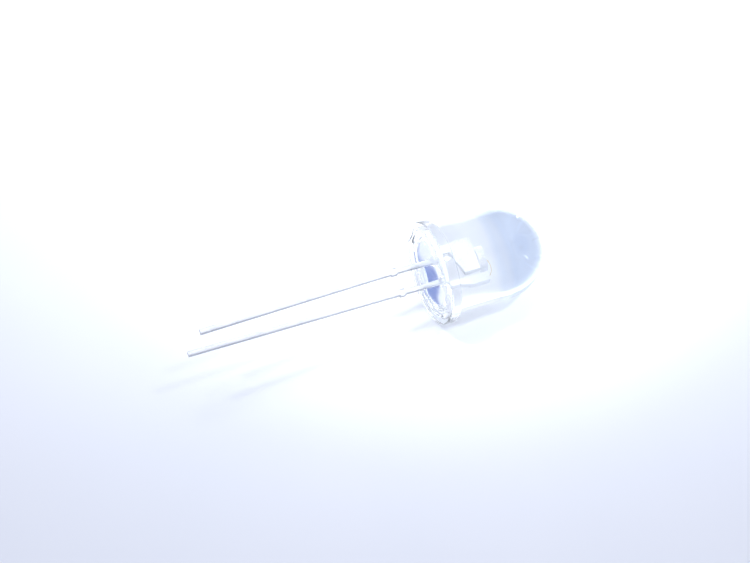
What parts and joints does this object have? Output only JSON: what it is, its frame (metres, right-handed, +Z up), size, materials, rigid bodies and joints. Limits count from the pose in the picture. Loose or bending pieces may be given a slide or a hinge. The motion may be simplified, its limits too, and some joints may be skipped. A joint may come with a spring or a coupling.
{
  "type": "through hole led",
  "caption": "Round clear-resin through-hole lamp: domed barrel, flange with a flat on the cathode side, hollow back, and straight square leads, the anode's the longer.",
  "frame": {"origin": "on the floor, under the middle of the lamp's bounding box, with the lamp lying on its side", "axes": "+X along the lamp towards its dome, +Z up; the dome dips by the angle at which it rests on its flange's rim"},
  "size_m": [0.0404, 0.0114, 0.0116],
  "materials": {
    "clear_epoxy": "gloss",
    "tinned_steel": "satin",
    "semiconductor": "satin",
    "silver_resin": "matte",
    "gold": "gloss"
  },
  "bodies": {
    "root": {"lens": "clear_epoxy", "cathode_frame": "tinned_steel", "anode_frame": "tinned_steel", "die": "semiconductor", "die_attach": "silver_resin", "bond_wire": "gold"}
  },
  "joints": []
}
